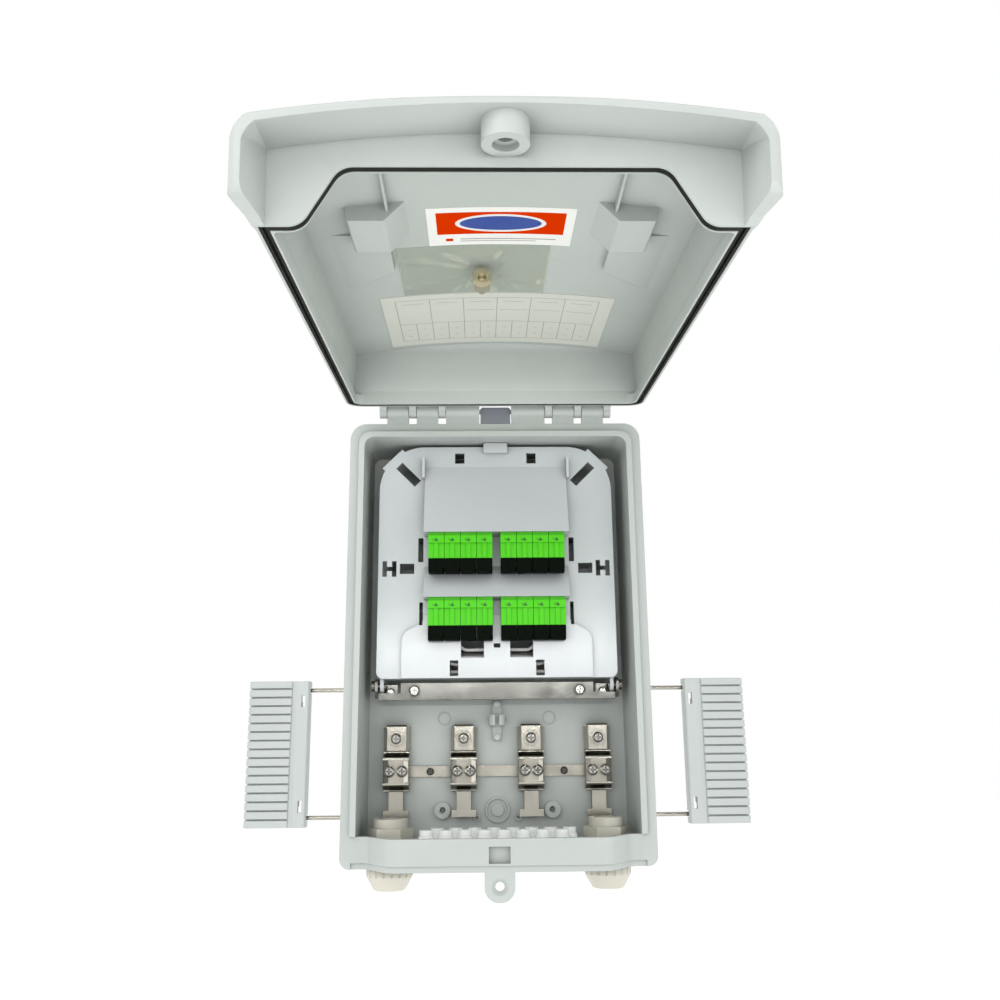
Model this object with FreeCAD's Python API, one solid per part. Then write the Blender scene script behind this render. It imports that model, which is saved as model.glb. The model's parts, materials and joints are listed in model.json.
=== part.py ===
"""Wall-mounted fibre termination box with a hinged lid, a swing-out adapter panel and two side latches.

Frame: X to the right, +Y into the wall, +Z up. The origin is the centre of the flat back face.
The lid stands open, the latches are swung out to the sides and the adapter panel is shut.
"""
import FreeCAD, Part
import math
import os

Vector = FreeCAD.Vector

# ---- driving dimensions, millimetres and degrees ----
FLANGE_HALF_W = 108.0        # sealing flange round the mouth of the base
BOX_HALF_H = 157.5
TONGUE_HALF_W = 101.4        # outer face of the side walls and of the tongue
CAVITY_HALF_W = 97.2         # inner faces at the mouth
WALL_DRAFT = 2.5             # how much narrower the cavity is at the floor, each side
FLOOR_T = 3.0
FLANGE_Y = -51.7             # front face of the sealing flange
FLANGE_T = 6.0
TONGUE_Y = -55.0             # front edge of the tongue
CAVITY_TOP_Z = 146.7
TONGUE_TOP_Z = 150.9
GLAND_WALL_TOP = -140.5      # bottom wall, inner face
GLAND_WALL_BOTTOM = -144.0
DAM_TOP_Z = -136.5           # wide sealing land above the cable entries
DAM_BOTTOM_Z = -153.5
STEP_FORWARD = 28.0          # the middle of the cable end stands this far in front of the flange
STEP_OUTER_X = 90.0
STEP_INNER_X = 73.0
STEP_RADIUS = 10.0

LID_OPEN = 85.0
HINGE_Y = -49.6
HINGE_Z = 167.5
KNUCKLE_R = 4.7
PIN_R = 1.6
PIN_HOLE_R = 1.65
LID_FINGERS_X = (40.0, 62.0, 84.0)
FINGER_W = 5.3
BASE_KNUCKLES_X = ((12.0, 37.0), (43.0, 59.0), (65.0, 81.0))

LID_HALF_W = 110.0
LID_RIM_Y = -52.3
LID_TOP_Z = 160.5
LID_END_Z = -156.5           # outer face of the wall that seals the cable end
HOOD_END_Z = -181.0
HOOD_HALF_W = 118.5
HOOD_SIDE_T = 7.0            # the hood's side walls are thicker than the rest
LID_WALL = 3.5
CROWN_CENTRE_Y = -99.8
CROWN_EDGE_Y = -91.5
CROWN_EDGE_X = 109.0
LID_LIP_HALF_W = 103.0
GASKET_W = 4.6
GASKET_EDGE = 1.3            # wall left outside the gasket groove
GASKET_DEPTH = 4.0

LOCK_Z = -166.5
LOCK_HOLE_R = 3.0
LOCK_BOSS_R = 10.75
LOCK_TAB_HALF_W = 10.0

LATCH_Z = -81.2
LEG_HALF_SPAN = 44.0
WIRE_R = 1.5
WIRE_HOLE_R = 1.55
AXLE_X = 104.8
AXLE_Y = -38.0
LEG_JOG = 8.5
LEG_REACH = 37.7
LEVER_HALF_H = 50.0
LEVER_RIBS = 17
LEVER_RIB_H = 4.8
PIN_X = AXLE_X + LEG_REACH
PIN_Y = AXLE_Y + LEG_JOG

PANEL_FRONT_Y = -38.0
PANEL_BACK_Y = -22.0
PANEL_HALF_W = 87.0
PANEL_TOP_Z = 143.5
PANEL_BOTTOM_Z = -30.0
PANEL_T = 2.0
PANEL_CORNER_R = 34.0        # the two upper corners of the panel
RAMP_TOPS = (127.7, 51.5)
RAMP_HALF_W = 53.0
PIVOT_Y = -27.0
PIVOT_Z = -34.5
PIVOT_PIN_R = 2.0
PIVOT_HOLE_R = 2.05
ADAPTER_PITCH = 11.7
ADAPTER_W = 11.4
ADAPTER_DEPTH = 9.6
QUAD_CENTRES_X = (-26.2, 26.2)
ROWS = ((72.6, 55.0, -54.5), (25.4, 6.5, -52.3))   # top and bottom of the visible body, its front face
CAP_LENGTH = 10.4

CLAMP_XS = (-73.8, -24.6, 24.6, 73.8)
CABLE_SADDLE_Z = -94.75
GLAND_X = 75.0
GLAND_Y = -37.0
DROP_PITCH = 13.0
DROP_FRONT_Y = -64.0
DROP_BACK_Y = -44.0
DROP_HOLE_R = 4.5
WALL_SCREW_R = 2.4
LOWER_SCREW = (40.2, -122.5)
UPPER_SCREW = (84.0, 132.0)
BOSS_R = 5.9
BOSS_FRONT_Y = -6.0

TRAY_HALF_W = 74.0
TRAY_TOP_Z = 124.0
TRAY_BOTTOM_Z = -8.0
TRAY_FRONT_Y = -17.5
TRAY_CORNER_R = 26.0
TRAY_SCREWS = ((62.0, 112.0), (62.0, 6.0))
SPOOL_X = 44.0
SPOOL_ZS = (34.0, 82.0)

SHEET_T = 1.2                # sheet steel of the rail, clamps and saddles
RAIL_FRONT_Y = -28.0
RAIL_HALF_W = 86.0
RAIL_BOTTOM_Z = -44.4
RAIL_BACK_Y = -16.0
RAIL_SCREW = (60.0, -38.0)
RAIL_FOOT_SCREW = (78.0, -38.5)

BAR_FRONT_Y = -4.5
BAR_SCREW_X = 49.2
BAR_SCREW_Z = -95.0
CLAMP_HALF_W = 9.5
STEM_HALF_W = 5.2
CLAMP_TOP_Y = -14.0
CLAMP_SCREW_Z = -71.6
SADDLE_TOP_Y = -14.2
SADDLE_SCREW_Z = -94.6
SADDLE_SCREW_DX = 4.7

GLAND_THREAD_R = 12.0
GLAND_BORE_R = 8.5
GLAND_CAP_R = 16.0
GLAND_GRIPS = 18

# the lid screw that is kept in the bag
KEY_X = -10.0
KEY_Z0 = -7.0
KEY_Z1 = 13.0
KEY_Y = -87.6
KEY_R = 6.0


# ---- small builders ----
def point(plane, u, v, level):
    """The 3-D point of (u, v) drawn in a plane that lies at the given level."""
    if plane == "XY":
        return Vector(u, v, level)
    if plane == "XZ":
        return Vector(u, level, v)
    return Vector(level, u, v)


def rounded_wire(plane, corners, level):
    """A closed wire through corners (u, v, radius) with an arc at each corner that has a radius."""
    pts = [point(plane, u, v, level) for u, v, _ in corners]
    count = len(corners)
    starts = []
    ends = []
    mids = []
    for i, (_, _, radius) in enumerate(corners):
        here = pts[i]
        to_prev = (pts[i - 1] - here).normalize()
        to_next = (pts[(i + 1) % count] - here).normalize()
        if radius <= 0:
            starts.append(here)
            ends.append(here)
            mids.append(None)
            continue
        half = to_prev.getAngle(to_next) / 2
        reach = radius / math.tan(half)
        bisector = (to_prev + to_next).normalize()
        starts.append(here + to_prev * reach)
        ends.append(here + to_next * reach)
        mids.append(here + bisector * (radius / math.sin(half) - radius))
    edges = []
    for i in range(count):
        if mids[i] is not None:
            edges.append(Part.Arc(starts[i], mids[i], ends[i]).toShape())
        following = starts[(i + 1) % count]
        if (following - ends[i]).Length > 1e-6:
            edges.append(Part.LineSegment(ends[i], following).toShape())
    return Part.Wire(edges)


def slab(plane, corners, low, high):
    """A prism of the rounded outline from level low to level high along the plane's normal."""
    face = Part.Face(rounded_wire(plane, corners, low))
    return face.extrude(point(plane, 0, 0, high - low))


def block(x0, x1, y0, y1, z0, z1):
    return Part.makeBox(x1 - x0, y1 - y0, z1 - z0, Vector(x0, y0, z0))


def rod(radius, start, end):
    """A cylinder from start to end."""
    a = Vector(*start)
    run = Vector(*end) - a
    return Part.makeCylinder(radius, run.Length, a, run)


def tube(outer_r, inner_r, start, end):
    return rod(outer_r, start, end).cut(rod(inner_r, start, end))


def hexagon(across_flats, x, y, z0, z1):
    radius = across_flats / math.sqrt(3)
    corners = []
    for i in range(6):
        turn = math.radians(60 * i)
        corners.append((x + radius * math.cos(turn), y + radius * math.sin(turn), 0.8))
    return slab("XY", corners, z0, z1)


def join(shapes):
    first = shapes[0]
    if len(shapes) == 1:
        return first
    return first.fuse(shapes[1:]).removeSplitter()


def mirror_x(shape):
    return shape.mirror(Vector(0, 0, 0), Vector(1, 0, 0))


def both_sides(shape):
    return [shape, mirror_x(shape)]


def frame_outline(half_w, top, bottom, top_r, bottom_r):
    return [
        (-half_w, bottom, bottom_r),
        (-half_w, top, top_r),
        (half_w, top, top_r),
        (half_w, bottom, bottom_r),
    ]


def step_strip(front_y, back_y, half_w, z0, z1):
    """A strip that follows the sealing line: level at both sides, stepped forward in the middle."""
    r = STEP_RADIUS
    f = front_y
    b = back_y
    fwd = STEP_FORWARD
    corners = [
        (-half_w, f, 0), (-STEP_OUTER_X, f, r), (-STEP_INNER_X, f - fwd, r),
        (STEP_INNER_X, f - fwd, r), (STEP_OUTER_X, f, r), (half_w, f, 0),
        (half_w, b, 0), (STEP_OUTER_X, b, r), (STEP_INNER_X, b - fwd, r),
        (-STEP_INNER_X, b - fwd, r), (-STEP_OUTER_X, b, r), (-half_w, b, 0),
    ]
    return slab("XY", corners, z0, z1)


def step_fill(front_y, back_y, half_w, z0, z1):
    """Everything between the stepped sealing line and a straight back line."""
    r = STEP_RADIUS
    fwd = STEP_FORWARD
    corners = [
        (-half_w, front_y, 0), (-STEP_OUTER_X, front_y, r), (-STEP_INNER_X, front_y - fwd, r),
        (STEP_INNER_X, front_y - fwd, r), (STEP_OUTER_X, front_y, r), (half_w, front_y, 0),
        (half_w, back_y, 0), (-half_w, back_y, 0),
    ]
    return slab("XY", corners, z0, z1)


def opened(shape):
    """Turn a lid piece from shut to its open rest position."""
    turned = shape.copy()
    turned.rotate(Vector(0, HINGE_Y, HINGE_Z), Vector(1, 0, 0), -LID_OPEN)
    return turned


def save(name, shape):
    shape.exportStep("parts/" + name + ".step")


# ---- base ----
def base_cavity():
    floor = frame_outline(CAVITY_HALF_W - WALL_DRAFT, CAVITY_TOP_Z - WALL_DRAFT, GLAND_WALL_TOP, 6, 3)
    mouth = frame_outline(CAVITY_HALF_W, CAVITY_TOP_Z, GLAND_WALL_TOP, 7, 3)
    wires = [rounded_wire("XZ", floor, -FLOOR_T), rounded_wire("XZ", mouth, TONGUE_Y - 1)]
    return Part.makeLoft(wires, True, True)


def drop_port_centres():
    """Two staggered rows of eight drop-cable ports."""
    centres = []
    for i in range(8):
        x = (i - 3.5) * DROP_PITCH
        centres.append((x - DROP_PITCH / 4, DROP_FRONT_Y))
        centres.append((x + DROP_PITCH / 4, DROP_BACK_Y))
    return centres


def base_shell():
    outer = frame_outline(TONGUE_HALF_W, TONGUE_TOP_Z, GLAND_WALL_BOTTOM, 9, 5)
    shell = slab("XZ", outer, TONGUE_Y, 0).cut(base_cavity())
    # the tongue stops above the sealing land
    shell = shell.cut(block(-120, 120, TONGUE_Y - 1, FLANGE_Y, -160, DAM_TOP_Z))
    back_y = FLANGE_Y + FLANGE_T
    flange = slab("XZ", frame_outline(FLANGE_HALF_W, BOX_HALF_H, -BOX_HALF_H, 12, 7), FLANGE_Y, back_y)
    hollow = slab("XZ", frame_outline(TONGUE_HALF_W - 1, TONGUE_TOP_Z - 1, -170, 8, 0), FLANGE_Y - 1, 0)
    flange = flange.cut(hollow)
    pieces = [shell, flange]
    strip_half_w = FLANGE_HALF_W - 7
    pieces.append(step_strip(FLANGE_Y, back_y, strip_half_w, DAM_BOTTOM_Z, DAM_TOP_Z))
    pieces.append(step_strip(FLANGE_Y + 1.5, back_y, strip_half_w, -BOX_HALF_H, DAM_BOTTOM_Z))
    pieces.append(step_fill(FLANGE_Y + 3, back_y, TONGUE_HALF_W - 1, GLAND_WALL_BOTTOM, GLAND_WALL_TOP))
    # lock tab below the stepped middle
    tab_y = FLANGE_Y - STEP_FORWARD
    tab = frame_outline(LOCK_TAB_HALF_W, -150, LOCK_Z - 9.8, 0, LOCK_TAB_HALF_W - 0.4)
    pieces.append(slab("XZ", tab, tab_y + 1.5, tab_y + 6))
    # floor bosses
    for side in (-1, 1):
        for x, z in (LOWER_SCREW, UPPER_SCREW):
            pieces.append(rod(BOSS_R, (side * x, -1, z), (side * x, BOSS_FRONT_Y, z)))
        for z0, z1 in ((-40, -36), (36, 40), (-2, 2)):
            ear = slab("XY", [(TONGUE_HALF_W - 1, -33, 0), (TONGUE_HALF_W - 1, -46, 0), (108.0, -46, 0),
                              (108.0, AXLE_Y + 1, 3.0), (104.5, -33, 2.0)], LATCH_Z + z0, LATCH_Z + z1)
            pieces.append(ear if side > 0 else mirror_x(ear))
    pieces.append(tube(9.0, 7.6, (0, -1, LOWER_SCREW[1]), (0, -4.2, LOWER_SCREW[1])))
    pieces.append(rod(4.6, (0, -1, LOWER_SCREW[1]), (0, -4.0, LOWER_SCREW[1])))
    pieces.extend(both_sides(tube(4.8, 4.2, (39, -1, -57), (39, -3.4, -57))))
    for x in (-15, 15):
        pieces.append(tube(2.4, 1.2, (x, -1, -128), (x, -5, -128)))
    # stiffening ribs in the floor
    for x in (-60, 60):
        pieces.append(block(x - 1, x + 1, -4.5, -1, -8, 100))
    # posts of the splice tray and of the support rail
    for side in (-1, 1):
        for x, z in TRAY_SCREWS:
            pieces.append(rod(4.0, (side * x, -1, z), (side * x, BOSS_FRONT_Y, z)))
        foot_x, foot_z = RAIL_FOOT_SCREW
        post = block(foot_x - 4, foot_x + 4, RAIL_BACK_Y + 0.2, -1, foot_z - 4, foot_z + 4)
        pieces.append(post if side > 0 else mirror_x(post))
    # hinge knuckles
    for x0, x1 in BASE_KNUCKLES_X:
        barrel = rod(KNUCKLE_R, (x0, HINGE_Y, HINGE_Z), (x1, HINGE_Y, HINGE_Z))
        web = block(x0, x1, HINGE_Y - 2.0, HINGE_Y + 3.9, BOX_HALF_H - 2, HINGE_Z)
        pieces.extend(both_sides(barrel.fuse(web)))
    pieces.append(block(-11.2, 11.2, HINGE_Y - 1.0, HINGE_Y + 2.5, BOX_HALF_H - 2, HINGE_Z + 2.5))
    shell = join(pieces)
    holes = [block(-7, 7, tab_y - 1, tab_y + 4, -152, -141.6)]
    for side in (-1, 1):
        holes.append(rod(PIN_HOLE_R, (side * 11, HINGE_Y, HINGE_Z), (side * 82, HINGE_Y, HINGE_Z)))
        for x, z in (LOWER_SCREW, UPPER_SCREW):
            holes.append(rod(WALL_SCREW_R, (side * x, 1, z), (side * x, -8, z)))
        x = side * GLAND_X
        holes.append(rod(GLAND_THREAD_R + 0.2, (x, GLAND_Y, -150), (x, GLAND_Y, -130)))
        x = side * AXLE_X
        reach = LEG_HALF_SPAN + 1
        holes.append(rod(WIRE_HOLE_R, (x, AXLE_Y, LATCH_Z - reach), (x, AXLE_Y, LATCH_Z + reach)))
    for x, y in drop_port_centres():
        holes.append(rod(DROP_HOLE_R, (x, y, -150), (x, y, -130)))
    holes.append(rod(LOCK_HOLE_R, (0, -90, LOCK_Z), (0, -60, LOCK_Z)))
    holes.append(Part.makeCone(5.5, LOCK_HOLE_R, 2.0, Vector(0, tab_y + 1.5, LOCK_Z), Vector(0, 1, 0)))
    return shell.cut(holes)


def hinge_pins():
    pin = rod(PIN_R, (11.0, HINGE_Y, HINGE_Z), (86.4, HINGE_Y, HINGE_Z))
    return Part.makeCompound(both_sides(pin))


# ---- lid ----
def crown_outline(inset, side_u):
    """Half of a lid cross-section above the rim: side, rounded shoulder, crowned front."""
    edge_x = CROWN_EDGE_X - inset
    left_side = Vector(-side_u, LID_RIM_Y + 2, 0)
    left_low = Vector(-side_u + 0.8, CROWN_EDGE_Y + 17, 0)
    left_top = Vector(-edge_x, CROWN_EDGE_Y + inset, 0)
    right_top = Vector(edge_x, CROWN_EDGE_Y + inset, 0)
    right_low = Vector(side_u - 0.8, CROWN_EDGE_Y + 17, 0)
    right_side = Vector(side_u, LID_RIM_Y + 2, 0)
    centre = Vector(0, CROWN_CENTRE_Y + inset, 0)
    bulge = 1.6
    left_mid = (left_low + left_top) * 0.5 + Vector(-bulge, -bulge * 0.6, 0)
    right_mid = (right_low + right_top) * 0.5 + Vector(bulge, -bulge * 0.6, 0)
    edges = [
        Part.LineSegment(left_side, left_low).toShape(),
        Part.Arc(left_low, left_mid, left_top).toShape(),
        Part.Arc(left_top, centre, right_top).toShape(),
        Part.Arc(right_top, right_mid, right_low).toShape(),
        Part.LineSegment(right_low, right_side).toShape(),
        Part.LineSegment(right_side, left_side).toShape(),
    ]
    return Part.Wire(edges)


def crown_prism(inset, side_u, z0, z1):
    face = Part.Face(crown_outline(inset, side_u))
    face.translate(Vector(0, 0, z0))
    return face.extrude(Vector(0, 0, z1 - z0))


def lid_outer():
    front = [(LID_HALF_W, LID_TOP_Z, 12), (LID_HALF_W, -153, 24), (HOOD_HALF_W, HOOD_END_Z, 5),
             (-HOOD_HALF_W, HOOD_END_Z, 5), (-LID_HALF_W, -153, 24), (-LID_HALF_W, LID_TOP_Z, 12)]
    side = [(LID_RIM_Y, LID_TOP_Z, 0), (-82, LID_TOP_Z - 1, 0), (-101.5, 150, 16), (-101.5, HOOD_END_Z, 4),
            (-58, HOOD_END_Z, 5), (-54.5, -162, 6), (LID_RIM_Y, LID_END_Z, 0)]
    body = crown_prism(0, HOOD_HALF_W + 1, HOOD_END_Z - 1, LID_TOP_Z + 1)
    return body.common(slab("XZ", front, -110, -50)).common(slab("YZ", side, -130, 130))


def lid_cavities():
    w = LID_WALL
    front = frame_outline(LID_HALF_W - w, LID_TOP_Z - w, LID_END_Z + w, 9, 4)
    side = [(-50, LID_TOP_Z - 7, 0), (-62, LID_TOP_Z - 7, 0), (-98, 147.0, 9), (-98, LID_END_Z + w, 2),
            (-50, LID_END_Z + w, 0)]
    main = crown_prism(w, LID_HALF_W - w + 0.8, -170, 165)
    main = main.common(slab("XZ", front, -110, -49)).common(slab("YZ", side, -130, 130))
    at_mouth = LID_HALF_W - w
    at_front = CROWN_EDGE_X - 8
    draft = [(-at_mouth, -49, 0), (-at_front, -98, 0), (at_front, -98, 0), (at_mouth, -49, 0)]
    main = main.common(slab("XY", draft, -170, 165))
    near = LID_HALF_W - w - 1
    far = HOOD_HALF_W - HOOD_SIDE_T
    open_z = HOOD_END_Z - 3
    hood_front = [(near, LID_END_Z, 0), (far, open_z, 0), (-far, open_z, 0), (-near, LID_END_Z, 0)]
    hood = crown_prism(w, far + 0.5, open_z, LID_END_Z)
    hood = hood.common(slab("XZ", hood_front, -110, -49))
    return [main, hood]


def lid_rim():
    """The thick edge that carries the gasket groove."""
    outer = frame_outline(LID_HALF_W - 2, LID_TOP_Z - 2, LID_END_Z + 2, 10, 5)
    inner = frame_outline(LID_LIP_HALF_W, LID_TOP_Z - 7, LID_END_Z + 7, 6, 3)
    ring = slab("XZ", outer, LID_RIM_Y - 7.2, LID_RIM_Y).cut(slab("XZ", inner, -70, -49))
    end = step_strip(LID_RIM_Y - 7.2, LID_RIM_Y, LID_HALF_W - 2, LID_END_Z, LID_END_Z + 7)
    return [ring, end]


def gasket_shape(depth_front, depth_back):
    """The ring that runs in the groove: straight sides and top, stepped end."""
    half_w = LID_HALF_W - GASKET_EDGE
    top = LID_TOP_Z - GASKET_EDGE
    end_z = LID_END_Z + GASKET_EDGE
    outer = frame_outline(half_w, top, end_z, 10, 0)
    inner = frame_outline(half_w - GASKET_W, top - GASKET_W, -200, 7, 0)
    ring = slab("XZ", outer, depth_back, depth_front).cut(slab("XZ", inner, -80, -49))
    end = step_strip(depth_back, depth_front, half_w, end_z, end_z + GASKET_W)
    return join([ring, end])


def lid_gasket():
    gasket = gasket_shape(LID_RIM_Y - 0.4, LID_RIM_Y - GASKET_DEPTH)
    edge = GASKET_EDGE + 1.5
    half_w = LID_HALF_W - edge
    outer = frame_outline(half_w, LID_TOP_Z - edge, LID_END_Z + edge, 9, 0)
    inner = frame_outline(half_w - 1.6, LID_TOP_Z - edge - 1.6, -200, 8, 0)
    groove = slab("XZ", outer, LID_RIM_Y - 1.8, LID_RIM_Y).cut(slab("XZ", inner, -80, -49))
    return gasket.cut(groove)


def lid_shell():
    lid = lid_outer().cut(lid_cavities())
    pieces = [lid] + lid_rim()
    inside = []
    # locking boss under the hood
    boss = rod(LOCK_BOSS_R, (0, -97.5, LOCK_Z), (0, -85.0, LOCK_Z))
    thread = rod(LOCK_HOLE_R + 0.2, (0, -94, LOCK_Z), (0, -84, LOCK_Z))
    recess = rod(2 * LOCK_HOLE_R, (0, -88, LOCK_Z), (0, -84, LOCK_Z))
    pieces.append(boss.cut([thread, recess]))
    pieces.append(block(-1.2, 1.2, -97, -88, LOCK_Z + 8, LID_END_Z + 1))
    # moulded blocks inside the front, with a rib each towards the cable end
    for side in (-1, 1):
        pad = slab("XY", [(46, -98, 0), (60, -84, 2), (79, -84, 1.5), (81, -98, 0)], -92, -52)
        step = slab("XZ", [(61, -60, 0), (61, -10, 3), (88, 17, 0), (104, 17, 0), (104, -60, 0)], -98, -90)
        rib = slab("YZ", [(-97, -91, 0), (-89, -91, 0), (-92, -146, 0), (-97, -152, 0)], 57.6, 59.0)
        inside.extend([pad, step, rib] if side > 0 else [mirror_x(pad), mirror_x(step), mirror_x(rib)])
        # the ledge that the lever's hook lip catches
        keeper = slab("XY", [(LID_HALF_W - 2, -78.7, 0), (113.6, -79.0, 0.8), (113.6, -81.5, 0.8),
                             (LID_HALF_W - 2, -81.5, 0)], LATCH_Z - 38, LATCH_Z + 38)
        pieces.append(keeper if side > 0 else mirror_x(keeper))
    pieces.append(join(inside).common(crown_prism(1.5, LID_HALF_W - 2, -170, 165)))
    for x in LID_FINGERS_X:
        x0 = x - FINGER_W / 2
        x1 = x + FINGER_W / 2
        ring = rod(KNUCKLE_R, (x0, HINGE_Y, HINGE_Z), (x1, HINGE_Y, HINGE_Z))
        arm = slab("YZ", [(HINGE_Y - 0.5, HINGE_Z + 4.6, 0), (-57.5, HINGE_Z + 1.0, 4),
                          (-60, LID_TOP_Z - 3, 0), (LID_RIM_Y, LID_TOP_Z - 3, 0),
                          (LID_RIM_Y, LID_TOP_Z + 0.5, 0), (HINGE_Y, HINGE_Z - 4.6, 0)], x0, x1)
        pieces.extend(both_sides(ring.fuse(arm)))
    shell = join(pieces)
    clear = step_fill(LID_RIM_Y, -30, 102.0, -175, -130)
    cuts = [gasket_shape(LID_RIM_Y + 1, LID_RIM_Y - GASKET_DEPTH), clear]
    for side in (-1, 1):
        cuts.append(rod(PIN_HOLE_R, (side * 36, HINGE_Y, HINGE_Z), (side * 90, HINGE_Y, HINGE_Z)))
    return shell.cut(cuts)


def inner_crown_strip(half_w, centre_x, lift, thickness, z0, z1):
    """A thin sheet that lies on the inside of the crowned lid front."""
    rise = CROWN_EDGE_Y - CROWN_CENTRE_Y
    radius = ((CROWN_EDGE_X - LID_WALL) ** 2 + rise ** 2) / (2 * rise)
    centre_y = CROWN_CENTRE_Y + LID_WALL + radius

    def arc(offset, reverse):
        r = radius - offset
        xs = [centre_x - half_w, centre_x, centre_x + half_w]
        if reverse:
            xs.reverse()
        pts = [Vector(x, centre_y - math.sqrt(r * r - x * x), z0) for x in xs]
        return Part.Arc(*pts).toShape(), pts[0], pts[-1]

    low, a, b = arc(lift, False)
    high, c, d = arc(lift + thickness, True)
    edges = [low, Part.LineSegment(b, c).toShape(), high, Part.LineSegment(d, a).toShape()]
    return Part.Face(Part.Wire(edges)).extrude(Vector(0, 0, z1 - z0))


def record_label():
    return inner_crown_strip(75.0, 0.0, 0.05, 0.4, 40.5, 139.5)


def notice_label():
    return inner_crown_strip(39.5, 0.0, 0.05, 0.4, -82.5, -35.5)


def accessory_bag():
    sheet = inner_crown_strip(44.0, -15.0, 0.05, 2.0, -34.5, 39.5)
    mound = rod(KEY_R + 2.4, (KEY_X, KEY_Y, KEY_Z0 - 3.4), (KEY_X, KEY_Y, KEY_Z1 + 3.4))
    keep = block(-60, 40, -95.0, -70, -60, 60)
    bag = join([sheet, mound.common(keep)])
    return bag.cut(rod(KEY_R + 0.5, (KEY_X, KEY_Y, KEY_Z0 - 1), (KEY_X, KEY_Y, KEY_Z1 + 1)))


def lock_key():
    """A special-head screw for the lid, kept in the bag."""
    shank = rod(KEY_R, (KEY_X, KEY_Y, KEY_Z0), (KEY_X, KEY_Y, KEY_Z0 + 10))
    shank = shank.cut(hexagon(5.0, KEY_X, KEY_Y, KEY_Z0 - 1, KEY_Z0 + 6))
    thread = rod(3.0, (KEY_X, KEY_Y, KEY_Z0 + 9), (KEY_X, KEY_Y, KEY_Z1))
    return join([shank, thread])


# ---- latches (right-hand side; the left is the mirror image) ----
def bail():
    """A closed loop of spring wire: axle bar, two jogged legs, pin bar."""
    pieces = []
    lows = LATCH_Z - LEG_HALF_SPAN
    highs = LATCH_Z + LEG_HALF_SPAN
    pieces.append(rod(WIRE_R, (AXLE_X, AXLE_Y, lows), (AXLE_X, AXLE_Y, highs)))
    pieces.append(rod(WIRE_R, (PIN_X, PIN_Y, lows), (PIN_X, PIN_Y, highs)))
    for z in (lows, highs):
        path = [(AXLE_X, AXLE_Y, z), (AXLE_X, PIN_Y, z), (PIN_X, PIN_Y, z)]
        for a, b in zip(path, path[1:]):
            pieces.append(rod(WIRE_R, a, b))
        for p in path:
            pieces.append(Part.makeSphere(WIRE_R, Vector(*p)))
    return join(pieces)


def lever():
    """Grip plate with ribs, hook lip on the inner edge and three barrels round the pin bar."""
    z0 = LATCH_Z - LEVER_HALF_H
    z1 = LATCH_Z + LEVER_HALF_H
    profile = [(-8.5, 2.4, 0.8), (-6.3, 2.4, 0.5), (-6.3, -5.2, 0.8), (31.0, -5.2, 0), (33.5, -3.2, 1),
               (33.5, -7.6, 1.5), (6.0, -8.4, 0), (0.0, -9.0, 3), (-8.5, -9.0, 2)]
    plate = slab("XY", [(PIN_X + u, PIN_Y + v, r) for u, v, r in profile], z0, z1)
    pieces = [plate]
    rib = [(3, -7, 0), (4, -9.8, 1), (32, -9.2, 2), (34.5, -6, 0)]
    pitch = (2 * LEVER_HALF_H - LEVER_RIB_H) / (LEVER_RIBS - 1)
    for i in range(LEVER_RIBS):
        z = z0 + i * pitch
        pieces.append(slab("XY", [(PIN_X + u, PIN_Y + v, r) for u, v, r in rib], z, z + LEVER_RIB_H))
    for mid in (-28, 0, 28):
        z = LATCH_Z + mid
        pieces.append(rod(2.6, (PIN_X, PIN_Y, z - 8), (PIN_X, PIN_Y, z + 8)))
        pieces.append(block(PIN_X - 2.6, PIN_X + 2.6, PIN_Y - 6, PIN_Y, z - 8, z + 8))
    body = join(pieces)
    cuts = [rod(WIRE_HOLE_R, (PIN_X, PIN_Y, z0 - 1), (PIN_X, PIN_Y, z1 + 1))]
    for side in (-1, 1):
        z = LATCH_Z + side * LEG_HALF_SPAN
        cuts.append(block(PIN_X - 10, PIN_X + 2.2, PIN_Y - 3.4, PIN_Y + 4, z - 2.2, z + 2.2))
        slot_z = LATCH_Z + side * 36
        cuts.append(block(PIN_X - 5.6, PIN_X - 3.0, PIN_Y - 10, PIN_Y, slot_z - 4, slot_z + 4))
    return body.cut(cuts)


# ---- adapter panel ----
def ramp(z_top, z_bottom, front_y, half_w, inset):
    """A wedge that rises out of the panel and ends in the wall that carries a row of adapters."""
    back = PANEL_FRONT_Y + 2.0 + inset
    front = front_y + inset * 1.3
    top = z_top - inset * 3
    bottom = z_bottom + inset
    side = [(back, top, 0), (PANEL_FRONT_Y + inset, top, 0), (front, bottom, 0), (back, bottom, 0)]
    return slab("YZ", side, -half_w + inset, half_w - inset)


def adapter_window(z, front_y, x):
    """The opening for one group of four adapters, in the wall at the bottom of a ramp."""
    half = 2 * ADAPTER_PITCH
    return block(x - half, x + half, front_y + 1.3, front_y + 1.3 + ADAPTER_DEPTH, z - 1, z + 3.4)


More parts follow.
